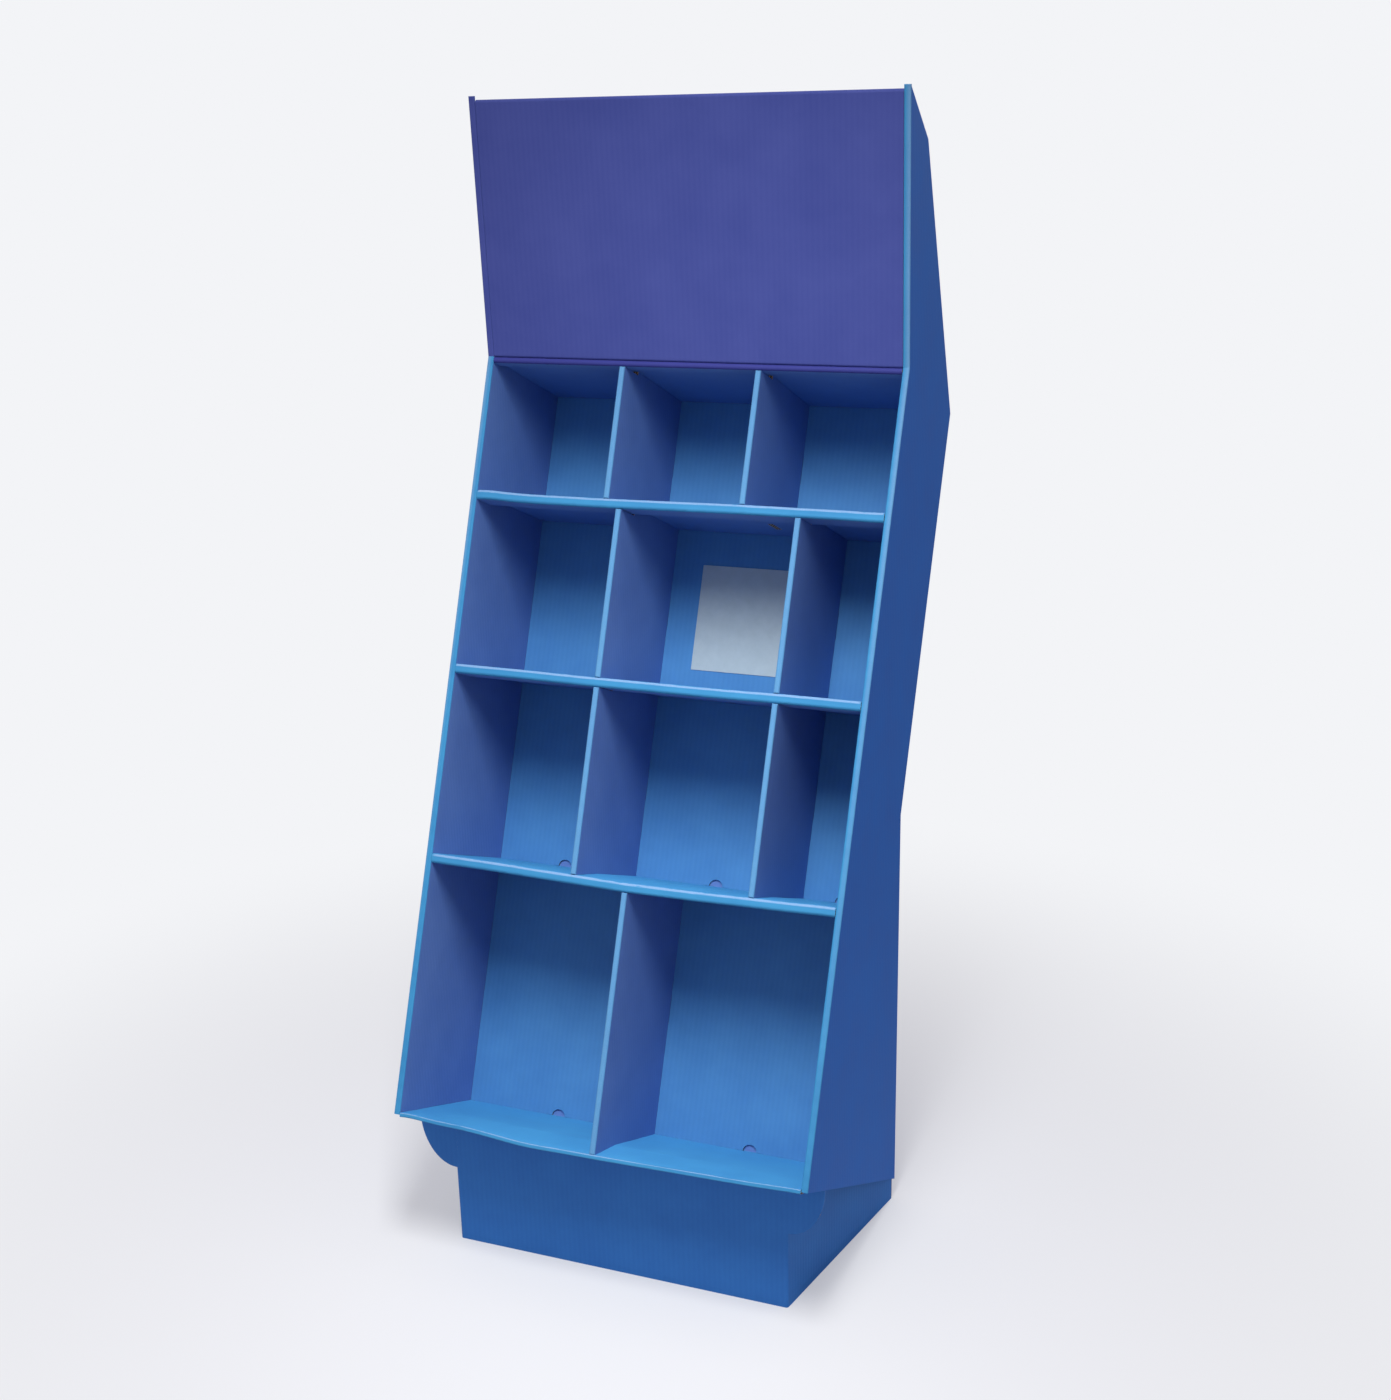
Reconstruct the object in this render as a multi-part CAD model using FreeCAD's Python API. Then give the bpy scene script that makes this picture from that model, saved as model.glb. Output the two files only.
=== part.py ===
import FreeCAD, Part
import math
import os

# Cardboard display stand: eleven slanted compartments between two hollow
# side panels, a header above them and a narrower plinth below.
# Units are millimetres, X to the right, the front faces -Y, Z up.
# It is drawn with Y counted from the lower front corners of the sides, and is
# then moved so that the origin lies on the floor at the middle of the plinth.

# Board and fits
board = 3               # one ply of corrugated board
fit = 0.3               # clearance between parts that slide together
fold_inside = 1         # inside radius of a folded crease
share_of_side = 0.48    # a crease takes no more than this of the face beside it
tab_end_gap = 1         # a tab stops this short of the next ply
label_sheet = 1         # thickness of the stuck label

# Overall shape, seen from the side
overall_width = 600
side_gap = 3            # air space between the two plies of a side
spine_round = 2         # rounding of the folded front edge of a side
front_slant = 22.4      # lean of the shelf front, degrees from upright
front_corner_height = 228
slant_length = 1051     # lower front corner to the header, along the slant
header_height = 336
header_lean = 15        # the top of the header comes forward by this
shelf_depth = 212       # shelf front to back wall, square to the slant
wall_space = 6          # back wall to outer back panel
rear_foot = 395         # the outer back stands this far behind the front corner
rear_top_level = 1048   # rearmost corner, along the slant
chamfer_run = 82        # header top to the corner behind it, backwards
chamfer_fall = 65       # and downwards
side_foot_height = 28   # lower rear corner of a side above the floor
return_flange = 30      # inner ply of a side beside the header

# Shelves, from the lowest up
shelf_names = ("shelf_lower", "shelf_middle", "shelf_upper")
lower_level = 356       # middle of the front lip, along the slant
middle_level = 619
upper_level = 860
lip_height = 13
hem_depth = 45          # return ply under the lip
bottom_hem_depth = 40
top_lip_height = 8
top_hem_depth = 20
sag_depth = 72          # the front of a sheet sags over this depth
bottom_sag = 8          # deepest sag of each front edge
lower_sag = 5
middle_sag = 1
upper_sag = 2
# Share of the deepest sag at seven places from the left side to the right
bottom_sag_shares = (0, 0.25, 1, 0.875, 0.625, 0.375, 0)
lower_sag_shares = (0, 0.2, 0.6, 1, 0.8, 0.4, 0)
middle_sag_shares = (0, 0, 1, 1, 1, 0, 0)
upper_sag_shares = (0, 1, 1, 0.5, 0, 0, 0)
side_tab_length = 60
side_tab_start = 85     # from the shelf front
rear_tab_width = 36
notch_radius = 10       # half-round hole over each rear tab

# Dividers: middle of each one, from the middle of the stand
divider_thickness = 8
divider_round = 2.5
bottom_divider_place = 0
middle_left_place = -77
middle_right_place = 176
top_divider_place = 97  # one on each side
divider_tab_length = 40
divider_tab_start = 120
divider_rear_tab = 40

# Plinth
plinth_width = 496
plinth_setback = 70
ear_height = 75         # from the foot of the ear's curve to its side
ear_foot = 116
glue_flange = 30
rib_place = 120
rib_thickness = 6
rib_shelf_end = 196     # the rib carries the shelf up to this depth
rib_tail_height = 60

# Label on the back wall of the middle cell in the third row up
label_width = 155
label_height = 150
label_centre = 49.5
label_foot = 665        # lower edge, along the slant

# Worked out from the driving sizes
slant = math.radians(front_slant)
half_width = overall_width / 2
side_thickness = 2 * board + side_gap
inner_half = half_width - side_thickness
back_depth = shelf_depth + board + wall_space
bottom_top = board
hem_foot = -board
sag_step = 2 * inner_half / (len(bottom_sag_shares) - 1)
far = 4 * overall_width


def slant_point(deep, up):
    """Side view place of a point so deep behind the slanted front and so far up it."""
    y = up * math.sin(slant) + deep * math.cos(slant)
    z = front_corner_height + up * math.cos(slant) - deep * math.sin(slant)
    return (y, z)


front_foot = slant_point(0, 0)
header_foot = slant_point(0, slant_length)
header_top = (header_foot[0] - header_lean, header_foot[1] + header_height)
chamfer_foot = (header_top[0] + chamfer_run, header_top[1] - chamfer_fall)
rear_top = slant_point(back_depth + board, rear_top_level)
rear_bend_level = (rear_foot - (back_depth + board) * math.cos(slant)) / math.sin(slant)
rear_bend = slant_point(back_depth + board, rear_bend_level)
side_foot = (rear_foot, side_foot_height)
side_drop = math.atan2(front_corner_height - side_foot_height, rear_foot) - slant


def offset_path(path, distance):
    """The same bent line moved to its left by the distance."""
    lines = []
    for start, end in zip(path, path[1:]):
        run = math.hypot(end[0] - start[0], end[1] - start[1])
        along = ((end[0] - start[0]) / run, (end[1] - start[1]) / run)
        moved = (start[0] - along[1] * distance, start[1] + along[0] * distance)
        lines.append((moved, along, run))
    corners = [lines[0][0]]
    for (first, a, _), (second, b, _) in zip(lines, lines[1:]):
        cross = a[0] * b[1] - a[1] * b[0]
        gap = (second[0] - first[0], second[1] - first[1])
        reach = (gap[0] * b[1] - gap[1] * b[0]) / cross
        corners.append((first[0] + a[0] * reach, first[1] + a[1] * reach))
    moved, along, run = lines[-1]
    corners.append((moved[0] + along[0] * run, moved[1] + along[1] * run))
    return corners


def rounded_wire(corners, radii):
    """Closed outline with a tangent arc of the given radius at each corner."""
    edges = []
    ends = []
    for index, corner in enumerate(corners):
        if radii[index] == 0:
            ends.append((corner, None, corner))
            continue
        before = corners[index - 1] - corner
        after = corners[(index + 1) % len(corners)] - corner
        room = share_of_side * min(before.Length, after.Length)
        before.normalize()
        after.normalize()
        half_angle = before.getAngle(after) / 2
        reach = min(radii[index] / math.tan(half_angle), room)
        radius = reach * math.tan(half_angle)
        middle = (before + after).normalize() * (radius / math.sin(half_angle) - radius)
        ends.append((corner + before * reach, corner + middle, corner + after * reach))
    for index, (start, middle, end) in enumerate(ends):
        if middle is not None:
            edges.append(Part.Arc(start, middle, end).toShape())
        following = ends[(index + 1) % len(ends)][0]
        edges.append(Part.LineSegment(end, following).toShape())
    return Part.Wire(edges)


def folded_outline(path, lay):
    """Corners and radii of a folded sheet whose outer face follows the path.

    lay is 1 when the board lies left of the path and -1 when it lies right."""
    outer = list(path)
    inner = offset_path(path, lay * board)
    outer_radii = [0]
    inner_radii = [0]
    for before, corner, after in zip(path, path[1:], path[2:]):
        turn = ((corner[0] - before[0]) * (after[1] - corner[1])
                - (corner[1] - before[1]) * (after[0] - corner[0]))
        inside = turn * lay > 0
        outer_radii.append(fold_inside + board if inside else fold_inside)
        inner_radii.append(fold_inside if inside else fold_inside + board)
    outer_radii.append(0)
    inner_radii.append(0)
    return outer + inner[::-1], outer_radii + inner_radii[::-1]


def side_view_plate(outline, left, right, radii=None):
    """Plate whose outline is given in the side view, between two X places."""
    corners = [FreeCAD.Vector(left, y, z) for y, z in outline]
    wire = rounded_wire(corners, radii or [0] * len(corners))
    return Part.Face(wire).extrude(FreeCAD.Vector(right - left, 0, 0))


def slant_plate(outline, left, right):
    """Plate whose outline is given as depth and level on the slant."""
    return side_view_plate([slant_point(deep, up) for deep, up in outline], left, right)


def slant_block(deep, up, left, right):
    """Block between two depths, two levels and two X places, square to the slant."""
    outline = [(deep[0], up[0]), (deep[1], up[0]), (deep[1], up[1]), (deep[0], up[1])]
    return slant_plate(outline, left, right)


def folded_sheet(path, lay, left, right):
    outline, radii = folded_outline(path, lay)
    return side_view_plate(outline, left, right, radii)


def sag_at(x, sags):
    """How far the front of a sheet hangs at this X place."""
    steps = (x + inner_half) / sag_step
    index = min(max(int(steps), 0), len(sags) - 2)
    blend = (1 - math.cos(math.pi * (steps - index))) / 2
    return sags[index] + (sags[index + 1] - sags[index]) * blend


def sagged(deep, up, x, sags):
    share = max(0, 1 - deep / sag_depth)
    return (deep, up - sag_at(x, sags) * share)


def round_edges(shape, radius, wanted):
    """Fillet of the edges whose ends both pass the test."""
    edges = [edge for edge in shape.Edges
             if all(wanted(vertex.Point) for vertex in edge.Vertexes)
             and len(edge.Vertexes) == 2]
    return shape.makeFillet(radius, edges)


def cell_edges(places):
    """Left and right face of each cell in a row that has dividers at these places."""
    half = divider_thickness / 2
    lefts = [-inner_half] + [place + half for place in places]
    rights = [place - half for place in places] + [inner_half]
    return list(zip(lefts, rights))


def cell_centres(places):
    return [(left + right) / 2 for left, right in cell_edges(places)]


# Each row: its dividers, the level of its floor and of the board above it
middle_divider_places = (middle_left_place, middle_right_place)
row_dividers = ((bottom_divider_place,), middle_divider_places,
                middle_divider_places, (-top_divider_place, top_divider_place))
shelf_levels = (lower_level, middle_level, upper_level)
floor_levels = [bottom_top] + [level + lip_height / 2 for level in shelf_levels]
lip_feet = [level - lip_height / 2 for level in shelf_levels]
lip_feet.append(slant_length - top_lip_height)
ply_feet = [level - board for level in floor_levels[1:]]
ply_feet.append(slant_length - board)
row_sags = [[deepest * share for share in shares] for deepest, shares in (
    (bottom_sag, bottom_sag_shares), (lower_sag, lower_sag_shares),
    (middle_sag, middle_sag_shares), (upper_sag, upper_sag_shares))]
flat_sags = [0] * len(bottom_sag_shares)
over_sags = row_sags[1:] + [flat_sags]


def on_front(point):
    """True on the front faces of the slanted side edges and of the header."""
    y, z = point.y, point.z
    slant_gap = y * math.cos(slant) - (z - front_corner_height) * math.sin(slant)
    lean = (header_foot[0] - header_top[0]) / (header_top[1] - header_foot[1])
    header_gap = y - header_foot[0] + (z - header_foot[1]) * lean
    return abs(slant_gap) < fit or (z > header_foot[1] and abs(header_gap) < fit)


def right_side_panel():
    """Folded double wall: outer ply, front spine and inner ply with tab slots."""
    outline = [front_foot, header_foot, header_top, chamfer_foot,
               rear_top, rear_bend, side_foot]
    outer_ply = side_view_plate(outline, half_width - board, half_width)
    front = [front_foot, header_foot, header_top]
    behind = offset_path(front, -board)
    spine = side_view_plate(front + behind[::-1], inner_half, half_width)
    flange = offset_path([header_foot, header_top], -return_flange)
    wall_depth = shelf_depth + board
    inner_outline = [front_foot, header_foot, header_top, flange[1], flange[0],
                     slant_point(wall_depth, slant_length),
                     slant_point(wall_depth, -wall_depth * math.tan(side_drop))]
    inner_ply = side_view_plate(inner_outline, inner_half, inner_half + board)
    rear_line = [header_top, chamfer_foot, rear_top, rear_bend, (rear_foot, 0)]
    room = [front_foot, header_foot] + offset_path(rear_line, -(2 * board + fit))
    inner_ply = inner_ply.common(side_view_plate(room, inner_half, inner_half + board))
    panel = outer_ply.fuse([spine, inner_ply]).removeSplitter()
    sides = (inner_half, half_width)
    panel = round_edges(panel, spine_round, lambda point: on_front(point)
                        and min(abs(point.x - side) for side in sides) < fit)
    tab_depths = (side_tab_start - fit, side_tab_start + side_tab_length + fit)
    for level in floor_levels + [slant_length]:
        slot = slant_block(tab_depths, (level - board - fit, level + fit),
                           inner_half - board, inner_half + board)
        panel = panel.cut(slot)
    return panel


def rear_slot(centre, level):
    """Slot in the back wall for a rear tab, with its half-round hole above."""
    half = rear_tab_width / 2 + fit
    depths = (shelf_depth - board, shelf_depth + 2 * board)
    slot = slant_block(depths, (level - board - fit, level + fit),
                       centre - half, centre + half)
    y, z = slant_point(depths[0], level)
    along = FreeCAD.Vector(0, math.cos(slant), -math.sin(slant))
    notch = Part.makeCylinder(notch_radius, depths[1] - depths[0],
                              FreeCAD.Vector(centre, y, z), along)
    upper = slant_block(depths, (level, level + 2 * notch_radius),
                        centre - notch_radius, centre + notch_radius)
    return slot.fuse(notch.common(upper))


def divider_tab_levels(floor, ceiling):
    middle = (floor + ceiling) / 2
    return (middle - divider_rear_tab / 2, middle + divider_rear_tab / 2)


def inner_back_wall():
    foot = -shelf_depth * math.tan(side_drop)
    wall = slant_block((shelf_depth, shelf_depth + board),
                       (foot, slant_length - board), -inner_half + fit, inner_half - fit)
    for row, places in enumerate(row_dividers):
        for centre in cell_centres(places):
            wall = wall.cut(rear_slot(centre, floor_levels[row]))
        low, high = divider_tab_levels(floor_levels[row], ply_feet[row])
        half = divider_thickness / 2 + fit
        for place in places:
            wall = wall.cut(slant_block((shelf_depth - board, shelf_depth + 2 * board),
                                        (low - fit, high + fit),
                                        place - half, place + half))
    return wall


def sagging_front(section, sags):
    """Front of a sheet, as far back as it sags, drawn through stations across it."""
    wires = []
    corners, radii = section
    stations = 2 * (len(sags) - 1)
    reach = inner_half - fit
    for station in range(stations + 1):
        x = -reach + 2 * reach * station / stations
        moved = [sagged(deep, up, x, sags) for deep, up in corners]
        points = [FreeCAD.Vector(x, *slant_point(deep, up)) for deep, up in moved]
        wires.append(rounded_wire(points, radii))
    front = Part.makeLoft(wires, True, False)
    keep = slant_block((-sag_depth, sag_depth), (-far, far), -half_width, half_width)
    return front.common(keep)


def shelf(section, sags, level, places, rear_tabs):
    """Sheet whose front sags, with side tabs, rear tabs and divider slots."""
    plies = (level - board, level)
    reach = inner_half - fit
    tab_reach = half_width - board - tab_end_gap
    flat = slant_block((sag_depth, shelf_depth - fit), plies, -reach, reach)
    tab_depths = (side_tab_start, side_tab_start + side_tab_length)
    tabs = [slant_block(tab_depths, plies, -tab_reach, tab_reach)]
    half = rear_tab_width / 2
    for centre in rear_tabs:
        rear = (sag_depth, shelf_depth + 2 * board)
        tabs.append(slant_block(rear, plies, centre - half, centre + half))
    flat = flat.fuse(tabs).removeSplitter()
    slot_depths = (divider_tab_start - fit, divider_tab_start + divider_tab_length + fit)
    slot_half = divider_thickness / 2 + fit
    for place in places:
        flat = flat.cut(slant_block(slot_depths, (level - 2 * board, level + board),
                                    place - slot_half, place + slot_half))
    return sagging_front(section, sags).fuse(flat).removeSplitter()


def lipped_section(level, lip, hem):
    """Section of a shelf: top ply, front lip and the hem folded back under it."""
    rear = sag_depth + board
    path = [(rear, level), (0, level), (0, level - lip), (hem, level - lip)]
    return folded_outline(path, 1)


def bottom_section():
    """Section of the bottom shelf: one ply with its front edge doubled under."""
    rear = sag_depth + board
    corners = [(rear, bottom_top), (sag_depth, bottom_top), (0, bottom_top),
               (0, hem_foot), (bottom_hem_depth, hem_foot), (bottom_hem_depth, 0),
               (sag_depth, 0), (rear, 0)]
    return corners, [0, 0, board / 2, board / 2, 0, 0, 0, 0]


def divider(row, place):
    """Doubled sheet with a folded front edge, a foot tab and a rear tab."""
    left = place - divider_thickness / 2
    right = place + divider_thickness / 2
    floor = floor_levels[row]
    lip = lip_feet[row] - fit
    ceiling = ply_feet[row] - fit
    sags = row_sags[row]
    over = over_sags[row]
    lowest = max(sag_at(x, over) for x in (left, place, right))
    highest = min(sag_at(x, sags) for x in (left, place, right))
    hem_end = hem_depth + board
    rear = shelf_depth - fit
    outline = [(0, floor - highest), (0, lip - lowest), (hem_end, lip - lowest),
               (hem_end, ceiling - lowest), (sag_depth, ceiling), (rear, ceiling),
               (rear, floor), (sag_depth, floor)]
    sheet = slant_plate(outline, left, right)
    sheet = round_edges(sheet, divider_round, lambda point: on_front(point)
                        and abs(abs(point.x - place) - divider_thickness / 2) < fit)
    low, high = divider_tab_levels(floor, ply_feet[row])
    rear_tab = slant_block((rear - board, shelf_depth + board + tab_end_gap),
                           (low, high), left, right)
    foot_tab = slant_block((divider_tab_start, divider_tab_start + divider_tab_length),
                           (floor - board, floor + board), left, right)
    return sheet.fuse([rear_tab, foot_tab]).removeSplitter()


def back_panel():
    """Creased outer back, set in behind the rear edges of the sides."""
    outline = [header_top, chamfer_foot, rear_top, rear_bend, (rear_foot, 0)]
    path = offset_path(outline, -board)
    start = offset_path([header_foot, header_top], -(3 * board))[1]
    share = (start[0] - header_top[0]) / chamfer_run
    path[0] = (path[0][0] + share * chamfer_run, path[0][1] - share * chamfer_fall)
    path[-1] = (path[-1][0], 0)
    reach = half_width - board - fit
    return folded_sheet(path, -1, -reach, reach)


def header_card():
    """Blank header face with a flap down onto the top panel and one over the back."""
    face = offset_path([header_foot, header_top], -board / 2)
    seat = slant_point(0, slant_length + fit)
    seat_direction = (math.cos(slant), -math.sin(slant))
    share = ((face[0][0] - seat[0]) * seat_direction[0]
             + (face[0][1] - seat[1]) * seat_direction[1])
    foot = (seat[0] + seat_direction[0] * share, seat[1] + seat_direction[1] * share)
    flap_end = (foot[0] + seat_direction[0] * glue_flange,
                foot[1] + seat_direction[1] * glue_flange)
    path = [flap_end, foot, face[1], chamfer_foot]
    reach = inner_half - fit
    return folded_sheet(path, -1, -reach, reach)


def ear_outline(width):
    """Outline of the right ear from the plinth's corner: (out, up) and its curve."""
    top = front_corner_height
    foot = FreeCAD.Vector(0, 0, ear_foot)
    tip = FreeCAD.Vector(width, 0, ear_foot + ear_height)
    centre = FreeCAD.Vector(0, 0, ear_foot + ear_height)
    ends = sorted((foot, tip), key=centre.distanceToPoint, reverse=True)
    ellipse = Part.Ellipse(*ends, centre)
    start = ellipse.parameter(foot)
    end = ellipse.parameter(tip)
    curve = Part.ArcOfEllipse(ellipse, start, end)
    if curve.length() > ear_height + width:
        curve = Part.ArcOfEllipse(ellipse, end, start)
    upper = [tip, FreeCAD.Vector(width, 0, top), FreeCAD.Vector(0, 0, top), foot]
    edges = [curve.toShape()]
    edges += [Part.LineSegment(a, b).toShape() for a, b in zip(upper, upper[1:])]
    return Part.Face(Part.Wire(Part.__sortEdges__(edges)))


def ear_plate(width, start, thickness):
    face = ear_outline(width)
    face.translate(FreeCAD.Vector(0, start, 0))
    return face.extrude(FreeCAD.Vector(0, thickness, 0))


def above_line(start, end, left, right):
    """Everything above a straight line in the side view."""
    outline = [start, end, (end[0], far), (start[0], far)]
    return side_view_plate(outline, left, right)


def extended(start, end, reach):
    """The same line drawn longer at both ends."""
    run = math.hypot(end[0] - start[0], end[1] - start[1])
    step = ((end[0] - start[0]) / run * reach, (end[1] - start[1]) / run * reach)
    return (start[0] - step[0], start[1] - step[1]), (end[0] + step[0], end[1] + step[1])


def plinth_wrap():
    """Folded plinth: front with an ear each side, and flanks that widen to the back."""
    ear_width = (overall_width - plinth_width) / 2
    flank_end = rear_foot - 2 * board - fit
    share = (flank_end - plinth_setback) / (rear_foot - plinth_setback)
    rear_half = plinth_width / 2 + ear_width * share
    half = plinth_width / 2
    path = [(-rear_half + glue_flange, flank_end), (-rear_half, flank_end),
            (-half, plinth_setback), (half, plinth_setback),
            (rear_half, flank_end), (rear_half - glue_flange, flank_end)]
    outline, radii = folded_outline(path, 1)
    corners = [FreeCAD.Vector(x, y, 0) for x, y in outline]
    section = Part.Face(rounded_wire(corners, radii))
    wrap = section.extrude(FreeCAD.Vector(0, 0, front_corner_height))
    flank_angle = math.degrees(math.atan2(ear_width, rear_foot - plinth_setback))
    ear = ear_plate(ear_width, 0, board)
    root = Part.makeBox(board, board, front_corner_height - ear_foot,
                        FreeCAD.Vector(-board, 0, ear_foot))
    ear = ear.fuse(root)
    hole = ear_plate(ear_width, -2 * board, 4 * board)
    hole.rotate(FreeCAD.Vector(0, 0, 0), FreeCAD.Vector(0, 0, 1), 90 - flank_angle)
    corner = FreeCAD.Vector(half, plinth_setback, 0)
    ear.translate(corner)
    hole.translate(corner)
    keep_front = Part.makeBox(overall_width, board, far,
                              FreeCAD.Vector(-half_width, plinth_setback, 0))
    hole = hole.cut(keep_front)
    flip = (FreeCAD.Vector(0, 0, 0), FreeCAD.Vector(1, 0, 0))
    wrap = wrap.cut([hole, hole.mirror(*flip)])
    wrap = wrap.fuse([ear, ear.mirror(*flip)])
    under_sides = extended(front_foot, side_foot, overall_width)
    under_shelf = extended(slant_point(0, 0), slant_point(shelf_depth, 0), overall_width)
    limits = [above_line(*under_shelf, -half_width, half_width)]
    inside = inner_half - fit
    for left, right in ((-far, -inside), (inside, far)):
        limits.append(above_line(*under_sides, left, right))
    wall = slant_plate([(shelf_depth - fit, -far), (shelf_depth - fit, far),
                        (far, far), (far, -far)], -half_width, half_width)
    behind = above_line(*under_sides, -half_width, half_width).common(wall)
    wrap = wrap.cut(limits + [behind])
    return wrap.removeSplitter()


def flank_half_width(y):
    """Half the plinth's outer width at this place behind the front."""
    share = (y - plinth_setback) / (rear_foot - plinth_setback)
    return plinth_width / 2 + (overall_width - plinth_width) / 2 * share


def plinth_pad():
    """Flat insert in the plinth that the stand rests on."""
    front = plinth_setback + board + fit
    rear = rear_foot - 3 * board - 2 * fit
    corners = []
    for y, sign in ((front, -1), (front, 1), (rear, 1), (rear, -1)):
        half = flank_half_width(y) - board - 3 * fit
        corners.append(FreeCAD.Vector(sign * half, y, 0))
    face = Part.Face(Part.makePolygon(corners + corners[:1]))
    return face.extrude(FreeCAD.Vector(0, 0, board))


def plinth_rib(place):
    """Upright rib in the plinth under the bottom shelf."""
    front = plinth_setback + board
    rear = rear_foot - 3 * board - 2 * fit
    shelf_start = slant_point(front / math.cos(slant), 0)
    shelf_end = slant_point(rib_shelf_end, 0)
    outline = [(front, board), shelf_start, shelf_end,
               (shelf_end[0], rib_tail_height), (rear, rib_tail_height), (rear, board)]
    return side_view_plate(outline, place - rib_thickness / 2, place + rib_thickness / 2)


def blank_label():
    face_depth = (shelf_depth - label_sheet, shelf_depth)
    return slant_block(face_depth, (label_foot, label_foot + label_height),
                       label_centre - label_width / 2, label_centre + label_width / 2)


parts = {}
right_side = right_side_panel()
parts["side_panel_right"] = right_side
parts["side_panel_left"] = right_side.mirror(FreeCAD.Vector(0, 0, 0), FreeCAD.Vector(1, 0, 0))
parts["inner_back_wall"] = inner_back_wall()
parts["back_panel"] = back_panel()
parts["header_card"] = header_card()
parts["bottom_shelf"] = shelf(bottom_section(), row_sags[0], bottom_top,
                              row_dividers[0], cell_centres(row_dividers[0]))
for row, name in enumerate(shelf_names, start=1):
    section = lipped_section(floor_levels[row], lip_height, hem_depth)
    parts[name] = shelf(section, row_sags[row], floor_levels[row],
                        row_dividers[row], cell_centres(row_dividers[row]))
top_section = lipped_section(slant_length, top_lip_height, top_hem_depth)
parts["top_panel"] = shelf(top_section, flat_sags, slant_length, (), ())
row_names = ("bottom", "lower", "upper", "top")
for row, places in enumerate(row_dividers):
    hands = ("",) if len(places) == 1 else ("_left", "_right")
    for place, hand in zip(places, hands):
        parts["divider_" + row_names[row] + hand] = divider(row, place)
parts["plinth_wrap"] = plinth_wrap()
parts["plinth_pad"] = plinth_pad()
parts["plinth_rib_left"] = plinth_rib(-rib_place)
parts["plinth_rib_right"] = plinth_rib(rib_place)
parts["blank_label"] = blank_label()

plinth_middle = (plinth_setback + rear_foot) / 2
os.makedirs("parts", exist_ok=True)
for name, shape in parts.items():
    if not shape.isValid() or len(shape.Solids) != 1:
        raise ValueError(name + " is not one valid solid")
    solid = shape.Solids[0]
    solid.translate(FreeCAD.Vector(0, -plinth_middle, 0))
    solid.exportStep("parts/" + name + ".step")
    print(name, round(shape.Volume / 1000, 1), "cm3")
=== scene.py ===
import math

import bmesh
import bpy
from mathutils import Matrix, Vector


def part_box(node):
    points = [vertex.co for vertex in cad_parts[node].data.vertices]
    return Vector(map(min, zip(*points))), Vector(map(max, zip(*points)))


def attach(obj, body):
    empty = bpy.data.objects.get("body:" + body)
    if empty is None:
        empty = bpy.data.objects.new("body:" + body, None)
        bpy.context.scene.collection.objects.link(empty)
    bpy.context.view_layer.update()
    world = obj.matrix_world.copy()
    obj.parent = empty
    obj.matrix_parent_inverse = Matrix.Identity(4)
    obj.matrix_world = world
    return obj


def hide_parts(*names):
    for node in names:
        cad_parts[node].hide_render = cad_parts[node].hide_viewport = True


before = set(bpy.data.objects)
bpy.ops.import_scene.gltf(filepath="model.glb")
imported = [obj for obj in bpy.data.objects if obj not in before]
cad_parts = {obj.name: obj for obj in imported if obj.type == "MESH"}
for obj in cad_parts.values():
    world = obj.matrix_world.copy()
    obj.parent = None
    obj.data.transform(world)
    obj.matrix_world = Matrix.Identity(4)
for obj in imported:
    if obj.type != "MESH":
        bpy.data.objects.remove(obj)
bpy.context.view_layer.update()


# Side panels: each is one printed corrugated blank folded round a front spine
# into a hollow double wall. The print is on the outside of the fold, the
# hollow shows bare kraft, and the rear and lower edges are die-cut.
board = 0.003
flute_pitch = 0.0075
inner_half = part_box("side_panel_right")[0].x
half_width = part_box("side_panel_right")[1].x
side_way, rear_way, up_way = Vector((1, 0, 0)), Vector((0, 1, 0)), Vector((0, 0, 1))

# The front leans back: depths run into the stand square to it, and levels up it.
front_slant = math.radians(22.4)
front_foot = Vector((0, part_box("side_panel_right")[0].y, 0.228))
deep_way = Vector((0, math.cos(front_slant), -math.sin(front_slant)))
level_way = Vector((0, math.sin(front_slant), math.cos(front_slant)))

# The header's face above it comes 15 mm forward over its height.
header_foot_level = 1.051
header_lean = Vector((0, -0.015, 0.336)).normalized()
header_way = Vector((0, header_lean.z, -header_lean.y))
header_foot = front_foot + level_way * header_foot_level

# What a face can show. Creases are folds whose ink may have cracked, and edges
# are the sheltered parts of folds, which stay unworn. On the shelves' lips the
# crease is the fold's up-facing half, pale from cracked ink and a painted
# highlight, and the edge is its down-facing half. The inner look is a violet
# print that is partly painted shade.
CUT, PRINT, KRAFT, CREASE, EDGE, INNER_SHADE, HEADER = range(7)

# Cosines between a face's normal and a way that it faces squarely, or mainly.
squarely, mainly = 0.995, 0.7

# Sockets of a colour mix: its two colours, and its result.
mix_a, mix_b, mix_out = 6, 7, 2


def linear(hex_colour):
    """An sRGB hex colour as a linear RGBA tuple."""
    channels = [int(hex_colour[place:place + 2], 16) / 255 for place in (1, 3, 5)]
    return tuple(c / 12.92 if c <= 0.04045 else ((c + 0.055) / 1.055) ** 2.4
                 for c in channels) + (1.0,)


def add(tree, kind, settings=(), links=()):
    """A shader node with its settings and links, by the names or numbers of its sockets."""
    made = tree.nodes.new(kind)
    for name, value in dict(settings).items():
        if isinstance(name, int) or name in made.inputs:
            made.inputs[name].default_value = value
        else:
            setattr(made, name, value)
    for name, source in dict(links).items():
        tree.links.new(source, made.inputs[name])
    return made


def new_finish(name, roughness=0.5):
    """A new material, with its node tree and its shader."""
    material = bpy.data.materials.new(name)
    material.use_nodes = True
    shader = material.node_tree.nodes["Principled BSDF"]
    shader.inputs["Roughness"].default_value = roughness
    return material, material.node_tree, shader


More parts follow.
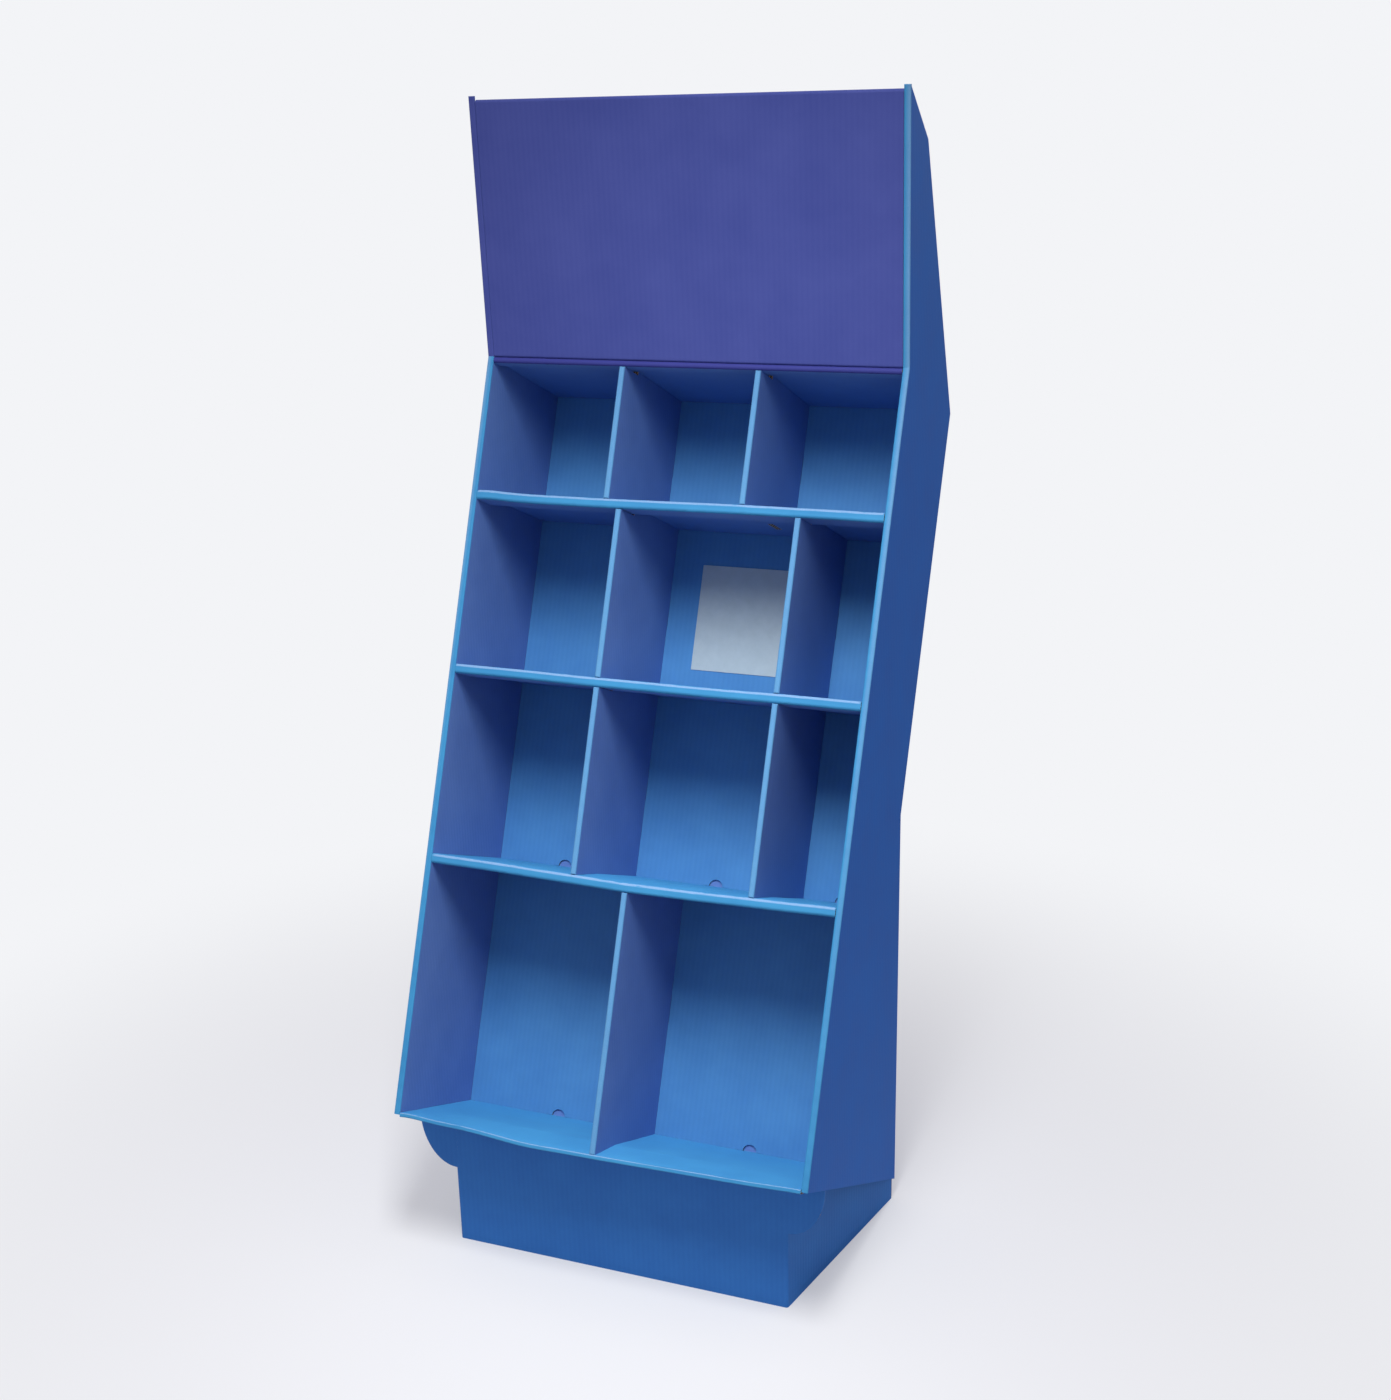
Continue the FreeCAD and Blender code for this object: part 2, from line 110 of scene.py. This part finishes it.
def printed_liner(name, print_hex, crease_hex):
    """Offset print under a satin aqueous varnish on a paper liner: an even colour
    with a soft mottle, faint lines where the flutes show through, and pale
    creases where the ink has cracked. On the shelves' lips the pale crease is
    also a painted highlight."""
    material, tree, shader = new_finish(name)
    shader.inputs["IOR"].default_value = 1.5
    shader.inputs["Specular IOR Level"].default_value = 0.14
    place = add(tree, "ShaderNodeTexCoord").outputs["Object"]
    across = add(tree, "ShaderNodeUVMap", {"uv_map": "board"}).outputs["UV"]
    # Clouds of about 70 mm, and a paper grain of about 1 mm, which is coarser than
    # real fibres so that it shows.
    mottle = add(tree, "ShaderNodeTexNoise", {"Scale": 14, "Detail": 4, "Roughness": 0.6},
                 {"Vector": place})
    grain = add(tree, "ShaderNodeTexNoise", {"Scale": 900, "Detail": 2, "Roughness": 0.5},
                {"Vector": place})
    # One band of the wave for each flute.
    pitches = add(tree, "ShaderNodeMapping", {"Scale": (1 / flute_pitch, 0, 0)},
                  {"Vector": across})
    flutes = add(tree, "ShaderNodeTexWave",
                 {"Scale": 0.314, "bands_direction": "X", "Distortion": 0.0},
                 {"Vector": pitches.outputs["Vector"]})
    red, green, blue, _ = linear(print_hex)
    thin_ink = (red * 1.30, green * 1.22, blue * 1.12, 1)
    thick_ink = (red * 0.78, green * 0.80, blue * 0.88, 1)
    cover = add(tree, "ShaderNodeMix", {"Factor": 0.10},
                {"A": mottle.outputs["Fac"], "B": flutes.outputs["Fac"]})
    ink = add(tree, "ShaderNodeMix",
              {"data_type": "RGBA", mix_a: thick_ink, mix_b: thin_ink},
              {"Factor": cover.outputs["Result"]})
    # The pale creases are cracked ink, and on the shelves' lips partly a painted highlight.
    crease = add(tree, "ShaderNodeAttribute", {"attribute_name": "crease"})
    cracks = add(tree, "ShaderNodeMapRange",
                 {"From Min": 0.25, "From Max": 0.65, "To Min": 0.55, "To Max": 1.0},
                 {"Value": grain.outputs["Fac"]})
    worn_and_highlit = add(tree, "ShaderNodeMath", {"operation": "MULTIPLY"},
               {0: crease.outputs["Fac"], 1: cracks.outputs["Result"]})
    tint = add(tree, "ShaderNodeMix", {"data_type": "RGBA", mix_b: linear(crease_hex)},
               {"Factor": worn_and_highlit.outputs[0], mix_a: ink.outputs[mix_out]})
    tree.links.new(tint.outputs[mix_out], shader.inputs["Base Color"])
    gloss = add(tree, "ShaderNodeMapRange", {"To Min": 0.50, "To Max": 0.64},
                {"Value": mottle.outputs["Fac"]})
    tree.links.new(gloss.outputs["Result"], shader.inputs["Roughness"])
    low_relief = add(tree, "ShaderNodeMath", {"operation": "MULTIPLY_ADD", 1: 0.12},
                     {0: grain.outputs["Fac"], 2: flutes.outputs["Fac"]})
    bump = add(tree, "ShaderNodeBump", {"Strength": 0.18, "Distance": 0.0004},
               {"Height": low_relief.outputs[0]})
    tree.links.new(bump.outputs["Normal"], shader.inputs["Normal"])
    return material


def kraft_liner():
    """Bare kraft paper: brown with darker fibres, quite matt. The fibres are about
    2 mm wide and four times as long, coarser than real ones so that they show."""
    material, tree, shader = new_finish("bare kraft liner", 0.85)
    place = add(tree, "ShaderNodeTexCoord").outputs["Object"]
    stretch = add(tree, "ShaderNodeMapping", {"Scale": (1, 1, 0.25)}, {"Vector": place})
    fibres = add(tree, "ShaderNodeTexNoise", {"Scale": 420, "Detail": 5, "Roughness": 0.7},
                 {"Vector": stretch.outputs["Vector"]})
    red, green, blue, _ = linear("#B08D63")
    dark_fibre = (red * 0.8, green * 0.78, blue * 0.74, 1)
    pale_fibre = (red * 1.12, green * 1.12, blue * 1.12, 1)
    brown = add(tree, "ShaderNodeMix",
                {"data_type": "RGBA", mix_a: dark_fibre, mix_b: pale_fibre},
                {"Factor": fibres.outputs["Fac"]})
    tree.links.new(brown.outputs[mix_out], shader.inputs["Base Color"])
    return material


def fluted_edge():
    """Die-cut edge of corrugated board: two liners with the waved paper between
    them, and dark brown painted shade in the open flutes. U runs across the
    flutes in metres, and V through the board in plies, so the heights here are
    shares of a ply."""
    material, tree, shader = new_finish("die-cut fluted edge", 0.9)
    wave_height, half_paper, liner_start = 0.36, 0.10, 0.38
    lie = add(tree, "ShaderNodeSeparateXYZ", links={
        "Vector": add(tree, "ShaderNodeUVMap", {"uv_map": "board"}).outputs["UV"]})
    turn = add(tree, "ShaderNodeMath", {"operation": "MULTIPLY", 1: 2 * math.pi / flute_pitch},
               {0: lie.outputs["X"]})
    wave = add(tree, "ShaderNodeMath", {"operation": "SINE"}, {0: turn.outputs[0]})
    middle = add(tree, "ShaderNodeMath", {"operation": "MULTIPLY_ADD", 1: wave_height, 2: 0.5},
                 {0: wave.outputs[0]})
    through = add(tree, "ShaderNodeMath", {"operation": "FRACT"}, {0: lie.outputs["Y"]})
    off_wave = add(tree, "ShaderNodeMath", {"operation": "SUBTRACT"},
                   {0: through.outputs[0], 1: middle.outputs[0]})
    from_wave = add(tree, "ShaderNodeMath", {"operation": "ABSOLUTE"}, {0: off_wave.outputs[0]})
    on_wave = add(tree, "ShaderNodeMath", {"operation": "LESS_THAN", 1: half_paper},
                  {0: from_wave.outputs[0]})
    off_middle = add(tree, "ShaderNodeMath", {"operation": "SUBTRACT", 1: 0.5},
                     {0: through.outputs[0]})
    from_middle = add(tree, "ShaderNodeMath", {"operation": "ABSOLUTE"},
                      {0: off_middle.outputs[0]})
    on_liner = add(tree, "ShaderNodeMath", {"operation": "GREATER_THAN", 1: liner_start},
                   {0: from_middle.outputs[0]})
    paper = add(tree, "ShaderNodeMath", {"operation": "MAXIMUM"},
                {0: on_wave.outputs[0], 1: on_liner.outputs[0]})
    # Painted shade: the dark brown is the shade inside the open flutes.
    colour = add(tree, "ShaderNodeMix",
                 {"data_type": "RGBA", mix_a: linear("#3A2A1C"), mix_b: linear("#C9AC84")},
                 {"Factor": paper.outputs[0]})
    tree.links.new(colour.outputs[mix_out], shader.inputs["Base Color"])
    return material


kraft = kraft_liner()
cut_edge = fluted_edge()
side_print = printed_liner("satin varnished print, deep blue", "#2267BF", "#9CC4EA")
# On the shelves' lips this print's pale crease is partly a painted highlight.
fold_print = printed_liner("satin varnished print, folded fronts", "#3B8BBE", "#8CACD2")
# Painted shade, in part: this violet print stands in for the purple shade in the cells. It is
# on the inner faces of the sides and dividers, the shelves' undersides and the flaps.
inner_shade_print = printed_liner("satin varnished print, inner faces, partly painted shade", "#5E80BE", "#A9B8E6")
header_print = printed_liner("satin varnished print, violet blue", "#46529A", "#5A66AE")


def depth_at(point):
    """How far a point lies behind the slanted front."""
    return (point - front_foot).dot(deep_way)


def level_at(point):
    """How far up the slanted front a point lies."""
    return (point - front_foot).dot(level_way)


def near_front(point, reach):
    """True within the reach behind the slanted front or the header's face."""
    if level_at(point) < header_foot_level:
        return depth_at(point) < reach
    return (point - header_foot).dot(header_way) < reach


def fold_normal(corner):
    """Smooth shading round a fold that leaves the wide flat faces flat."""
    own = corner.face.normal
    blend = Vector()
    for face in corner.vert.link_faces:
        if face.normal.dot(own) > mainly:
            blend += face.normal * face.calc_area()
    return blend.normalized() if blend.length > 0 else own.copy()


def dress_board(node, look, lie, material, ply=board, wear_and_highlight=0.5, flaps=()):
    """Stands a finished sheet in for a board node.

    look(centre, normal) says what a face shows; lie(centre, normal) gives the ways
    across the flutes and through the board there, where each ply is ply thick.
    wear is how pale its creases are: cracked ink, and on the shelves' lips partly a
    painted highlight. flaps places its added flaps."""
    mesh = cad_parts[node].data.copy()
    mesh.name = node + "_sheet"
    mesh.materials.clear()
    surfaces = {CUT: cut_edge, PRINT: material, KRAFT: kraft, CREASE: fold_print,
                EDGE: fold_print, INNER_SHADE: inner_shade_print, HEADER: header_print}
    sheet = bmesh.new()
    sheet.from_mesh(mesh)
    bmesh.ops.remove_doubles(sheet, verts=sheet.verts, dist=1e-5)
    bmesh.ops.dissolve_limit(sheet, angle_limit=math.radians(0.4),
                             verts=sheet.verts, edges=sheet.edges)
    for flap in flaps:
        bmesh.ops.create_cube(sheet, size=1, matrix=flap)
    for layer in list(sheet.loops.layers.uv):
        sheet.loops.layers.uv.remove(layer)
    lay = sheet.loops.layers.uv.new("board")
    looks = {}
    for face in sheet.faces:
        centre = face.calc_center_median()
        shown = look(centre, face.normal)
        looks[face] = shown
        if surfaces[shown].name not in mesh.materials:
            mesh.materials.append(surfaces[shown])
        face.material_index = mesh.materials.find(surfaces[shown].name)
        face.smooth = True
        across, through = lie(centre, face.normal)
        start = min(corner.vert.co.dot(through) for corner in face.loops)
        for corner in face.loops:
            corner[lay].uv = (corner.vert.co.dot(across),
                              (corner.vert.co.dot(through) - start) / ply)
    crease = sheet.verts.layers.float.new("crease")
    for vert in sheet.verts:
        if vert.link_faces and all(looks[face] == CREASE for face in vert.link_faces):
            vert[crease] = wear_and_highlight
    shading = [fold_normal(corner) for face in sheet.faces for corner in face.loops]
    sheet.to_mesh(mesh)
    sheet.free()
    mesh.normals_split_custom_set(shading)
    piece = bpy.data.objects.new(node + "_sheet", mesh)
    bpy.context.scene.collection.objects.link(piece)
    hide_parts(node)
    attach(piece, "root")


def lies(across, through):
    """The same ways across the flutes and through the board on a whole sheet."""
    return lambda centre, normal: (across, through)


def side_look(centre, normal):
    if abs(normal.x) > squarely:
        on_inner_ply = abs(centre.x) < inner_half + board / 2
        in_hollow = inner_half + board / 2 < abs(centre.x) < half_width - board / 2
        faces_inward = normal.x * centre.x < 0
        # The inward faces of the inner ply take the violet inner print, partly painted shade.
        return KRAFT if in_hollow else INNER_SHADE if on_inner_ply and faces_inward else PRINT
    if near_front(centre, board):
        turned_inward = normal.x * centre.x < -0.05 * abs(centre.x)
        return EDGE if turned_inward else CREASE
    return CUT


def left_side_look(centre, normal):
    """Beside the header, the left panel's front edge carries the header's colour."""
    shown = side_look(centre, normal)
    beside_header = level_at(centre) > header_foot_level
    return HEADER if beside_header and shown in (CREASE, EDGE) else shown


side_lie = lies(rear_way, side_way)
dress_board("side_panel_left", left_side_look, side_lie, side_print)
dress_board("side_panel_right", side_look, side_lie, side_print)


# Inner back wall: one printed sheet behind all the compartments. Shelf tabs go
# through its slots, and a half-round finger hole stands over each rear slot.
wall_print = printed_liner("satin varnished print, mid blue", "#4A87C0", "#9CC8EE")
wall_lie = lies(side_way, deep_way)


def two_faced(way, near, far):
    """The look of a flat sheet: near and far faces along a way, and cut edges."""
    def look(centre, normal):
        along = normal.dot(way)
        return near if along < -squarely else far if along > squarely else CUT
    return look


dress_board("inner_back_wall", two_faced(deep_way, PRINT, KRAFT), wall_lie, wall_print)


# Shelves and the ceiling of the top row: each sheet is folded down at the front
# into a lip and back under itself as a hem. The up-facing half of each lip's
# fold is pale from cracked ink and a painted highlight. Behind the wall each
# shelf's tabs turn up as locking flaps, seen in the holes. The undersides and
# the flaps' fronts take the violet inner print, which is partly painted shade.
shelf_depth, flap_height = 0.212, 0.018
shelf_print = printed_liner("satin varnished print, light blue", "#479AD2", "#C4D8F2")
# Painted shade: the top row's lip is printed deep violet so that it stays dark under the
# header.
deep_violet_shade_print = printed_liner("satin varnished print, deep violet painted shade", "#383E88", "#4A549A")


def locking_flaps(node):
    """Where a unit cube becomes the flap of each rear tab."""
    behind = shelf_depth + 1.5 * board
    ends = [vert.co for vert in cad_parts[node].data.vertices
            if depth_at(vert.co) > behind]
    sides = sorted({round(end.x, 4) for end in ends})
    foot = max(level_at(end) for end in ends)
    turned = Matrix((side_way, deep_way, level_way)).transposed().to_4x4()
    flaps = []
    for left, right in zip(sides[::2], sides[1::2]):
        middle = Vector(((left + right) / 2, 0, 0)) + front_foot
        middle += deep_way * behind + level_way * (foot + flap_height / 2)
        size = Matrix.Diagonal((right - left, board, flap_height, 1))
        flaps.append(Matrix.Translation(middle) @ turned @ size)
    return flaps


def shelf_look(centre, normal):
    up, forward = normal.dot(level_way), -normal.dot(deep_way)
    behind_wall = depth_at(centre) > shelf_depth + 0.9 * board
    if abs(normal.x) > squarely or forward < -squarely:
        return CUT
    # Painted shade: the undersides and the flaps behind the wall take the violet inner print.
    if up < -squarely or behind_wall:
        return INNER_SHADE
    # The upper face sags a little, and above the lip's middle the fold is pale:
    # cracked ink, with a painted highlight where it faces up.
    if up > 0.97:
        return PRINT
    return CREASE if up > 0.03 else EDGE


# The top row's ceiling has no pale fold: its lip takes the deep violet print as painted shade
# under the header.
def ceiling_look(centre, normal):
    shown = shelf_look(centre, normal)
    return PRINT if shown in (EDGE, CREASE) else shown


def shelf_lie(centre, normal):
    if abs(normal.dot(level_way)) > mainly:
        return deep_way, level_way
    return level_way, level_way


dress_board("top_panel", ceiling_look, shelf_lie, deep_violet_shade_print)
for node in ("shelf_lower", "shelf_middle", "shelf_upper", "bottom_shelf"):
    dress_board(node, shelf_look, shelf_lie, shelf_print, wear_and_highlight=0.9,
                flaps=locking_flaps(node))


# Dividers: each is a sheet folded double on its front edge, slotted into the
# shelf below and into the back wall. Both of its sides are printed, in the
# violet inner print, which is partly painted shade.
divider_ply = board * 4 / 3


def divider_look(centre, normal):
    if abs(normal.x) > squarely:
        return INNER_SHADE
    return CREASE if near_front(centre, board) else CUT


for node in sorted(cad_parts):
    if node.startswith("divider"):
        dress_board(node, divider_look, side_lie, inner_shade_print,
                    ply=divider_ply, wear_and_highlight=0.35)


# Header card: the display's face above the shelves, left without any picture.
# It is one plain violet-blue printed sheet with a flap below and one over the top.
def header_look(centre, normal):
    return CUT if abs(normal.x) > squarely else PRINT


dress_board("header_card", header_look, lies(side_way, header_way), header_print)


# Outer back: a creased sheet set in behind the rear edges of the sides. Its print
# faces the rear, and its bare liner the hollow between the two backs.
def back_look(centre, normal):
    if abs(normal.x) > squarely or normal.z < -squarely:
        return CUT
    return PRINT if normal.y > 0 else KRAFT


dress_board("back_panel", back_look, lies(side_way, rear_way), side_print)


# Plinth: a printed wrap with a quarter-round ear at each upper front corner, a
# flat insert that the stand rests on, and two ribs under the bottom shelf.
plinth_print = printed_liner("satin varnished print, plinth blue", "#3474C0", "#7FB0E2")


def plinth_look(centre, normal):
    on_rim = abs(normal.z) > 0.3
    if on_rim:
        return CUT
    outward = -normal.y if abs(normal.y) > mainly else normal.x * (1 if centre.x > 0 else -1)
    return PRINT if outward > 0 else KRAFT


def plinth_lie(centre, normal):
    if abs(normal.y) > mainly:
        return side_way, rear_way
    return rear_way, side_way


dress_board("plinth_wrap", plinth_look, plinth_lie, plinth_print)
dress_board("plinth_pad", two_faced(up_way, KRAFT, KRAFT), lies(side_way, up_way), kraft)
for hand in ("left", "right"):
    dress_board("plinth_rib_" + hand, two_faced(side_way, KRAFT, KRAFT), side_lie, kraft)


# Blank label: a sheet of pale paper stuck on the back wall of a middle cell,
# with nothing written on it.
def label_paper():
    """Uncoated copier paper: pale grey-blue, matt, with clouds of about 15 mm."""
    material, tree, shader = new_finish("uncoated label paper", 0.8)
    place = add(tree, "ShaderNodeTexCoord").outputs["Object"]
    cloud = add(tree, "ShaderNodeTexNoise", {"Scale": 60, "Detail": 5, "Roughness": 0.65},
                {"Vector": place})
    tone = add(tree, "ShaderNodeMix",
               {"data_type": "RGBA", mix_a: linear("#A6B6BC"), mix_b: linear("#BACACF")},
               {"Factor": cloud.outputs["Fac"]})
    tree.links.new(tone.outputs[mix_out], shader.inputs["Base Color"])
    return material


dress_board("blank_label", lambda centre, normal: PRINT, wall_lie, label_paper())


# Floor: matt pale studio paint that takes the stand's shadow and fades into the
# pale surround. The camera sees it paler than it lights the stand.
surround_hex = "#F3F4F7"
floor_half_width = 30
fade_start, fade_end, least_fade = 0.3, 1.7, 0.4
floor_mesh = bpy.data.meshes.new("studio_floor")
floor_form = bmesh.new()
bmesh.ops.create_grid(floor_form, x_segments=1, y_segments=1, size=floor_half_width)
floor_form.to_mesh(floor_mesh)
floor_form.free()
floor = bpy.data.objects.new("studio_floor", floor_mesh)
bpy.context.scene.collection.objects.link(floor)
floor_paint, tree, paint = new_finish("matt pale floor paint", 0.9)
glow = add(tree, "ShaderNodeEmission", {"Color": linear(surround_hex), "Strength": 1.0})
place = add(tree, "ShaderNodeTexCoord").outputs["Object"]
reach = add(tree, "ShaderNodeVectorMath", {"operation": "LENGTH"}, {0: place})
fade = add(tree, "ShaderNodeMapRange",
           {"From Min": fade_start, "From Max": fade_end, "To Min": least_fade,
            "interpolation_type": "SMOOTHSTEP"},
           {"Value": reach.outputs["Value"]})
seen = add(tree, "ShaderNodeLightPath").outputs["Is Camera Ray"]
paleness = add(tree, "ShaderNodeMix",
               {"data_type": "RGBA", mix_a: linear("#BDBEC0"), mix_b: linear("#E2E4E5")},
               {"Factor": seen})
tree.links.new(paleness.outputs[mix_out], paint.inputs["Base Color"])
share = add(tree, "ShaderNodeMath", {"operation": "MULTIPLY"},
            {0: fade.outputs["Result"], 1: seen})
blend = add(tree, "ShaderNodeMixShader", links={
    0: share.outputs[0], 1: paint.outputs[0], 2: glow.outputs[0]})
tree.links.new(blend.outputs[0], tree.nodes["Material Output"].inputs["Surface"])
floor_mesh.materials.append(floor_paint)


# Light: an even fill that is stronger overhead, and one softbox above and in
# front, to the right of the stand. Its long side runs front to back. The camera
# and the reflections see a pale surround in place of the fill.
horizon_fill, zenith_fill = 0.48, 0.66
fill_hex = "#F2ECF8"
world = bpy.data.worlds.new("pale studio")
bpy.context.scene.world = world
world.use_nodes = True
tree = world.node_tree
surround = tree.nodes["Background"]
way = add(tree, "ShaderNodeSeparateXYZ", links={
    "Vector": add(tree, "ShaderNodeTexCoord").outputs["Generated"]})
fill = add(tree, "ShaderNodeMapRange",
           {"From Min": 0.0, "From Max": 1.0, "To Min": horizon_fill, "To Max": zenith_fill},
           {"Value": way.outputs["Z"]})
rays = add(tree, "ShaderNodeLightPath")
direct = add(tree, "ShaderNodeMath", {"operation": "MAXIMUM"},
             {0: rays.outputs["Is Camera Ray"], 1: rays.outputs["Is Glossy Ray"]})
visible = add(tree, "ShaderNodeMath", {"operation": "MAXIMUM"},
              {0: direct.outputs[0], 1: rays.outputs["Is Transmission Ray"]})
tint = add(tree, "ShaderNodeMix",
           {"data_type": "RGBA", mix_a: linear(fill_hex), mix_b: linear(surround_hex)},
           {"Factor": visible.outputs[0]})
tree.links.new(tint.outputs[mix_out], surround.inputs["Color"])
strength = add(tree, "ShaderNodeMapRange", {"To Max": 1.0},
               {"Value": visible.outputs[0], "To Min": fill.outputs["Result"]})
tree.links.new(strength.outputs["Result"], surround.inputs["Strength"])

softbox = bpy.data.lights.new("softbox", "AREA")
softbox.shape = "RECTANGLE"
softbox.size = 0.4
softbox.size_y = 0.75
softbox.energy = 10
softbox.spread = math.radians(88)
softbox_aim = Vector((-0.16, 0.34, -1.0))
lamp = bpy.data.objects.new("softbox", softbox)
lamp.location = (0.33, -0.93, 2.235)
lamp.rotation_euler = softbox_aim.to_track_quat("-Z", "Y").to_euler()
bpy.context.scene.collection.objects.link(lamp)


# Camera: it stands where the photograph was taken from. Its lens, its axis and
# its three turns come from a fit to the stand's corners in the picture.
image_width, image_height = 1391, 1400
focal_pixels = 1954.5
axis_column, axis_row = 665.3, 822.7
camera_place = (0.9948, -2.2680, 1.5364)
turn, pitch, roll = math.radians(23.286), math.radians(20.537), math.radians(-1.602)
eye = bpy.data.cameras.new("photo_view")
eye.sensor_fit = "HORIZONTAL"
eye.sensor_width = 36
eye.lens = eye.sensor_width * focal_pixels / image_width
eye.shift_x = (image_width / 2 - axis_column) / image_width
eye.shift_y = (axis_row - image_height / 2) / image_width
camera = bpy.data.objects.new("photo_view", eye)
facing = Matrix.Rotation(turn, 4, "Z") @ Matrix.Rotation(math.pi / 2 - pitch, 4, "X")
camera.matrix_world = (Matrix.Translation(camera_place) @ facing
                       @ Matrix.Rotation(roll, 4, "Z"))
bpy.context.scene.collection.objects.link(camera)
bpy.context.scene.camera = camera

bpy.context.scene.view_settings.view_transform = "Standard"
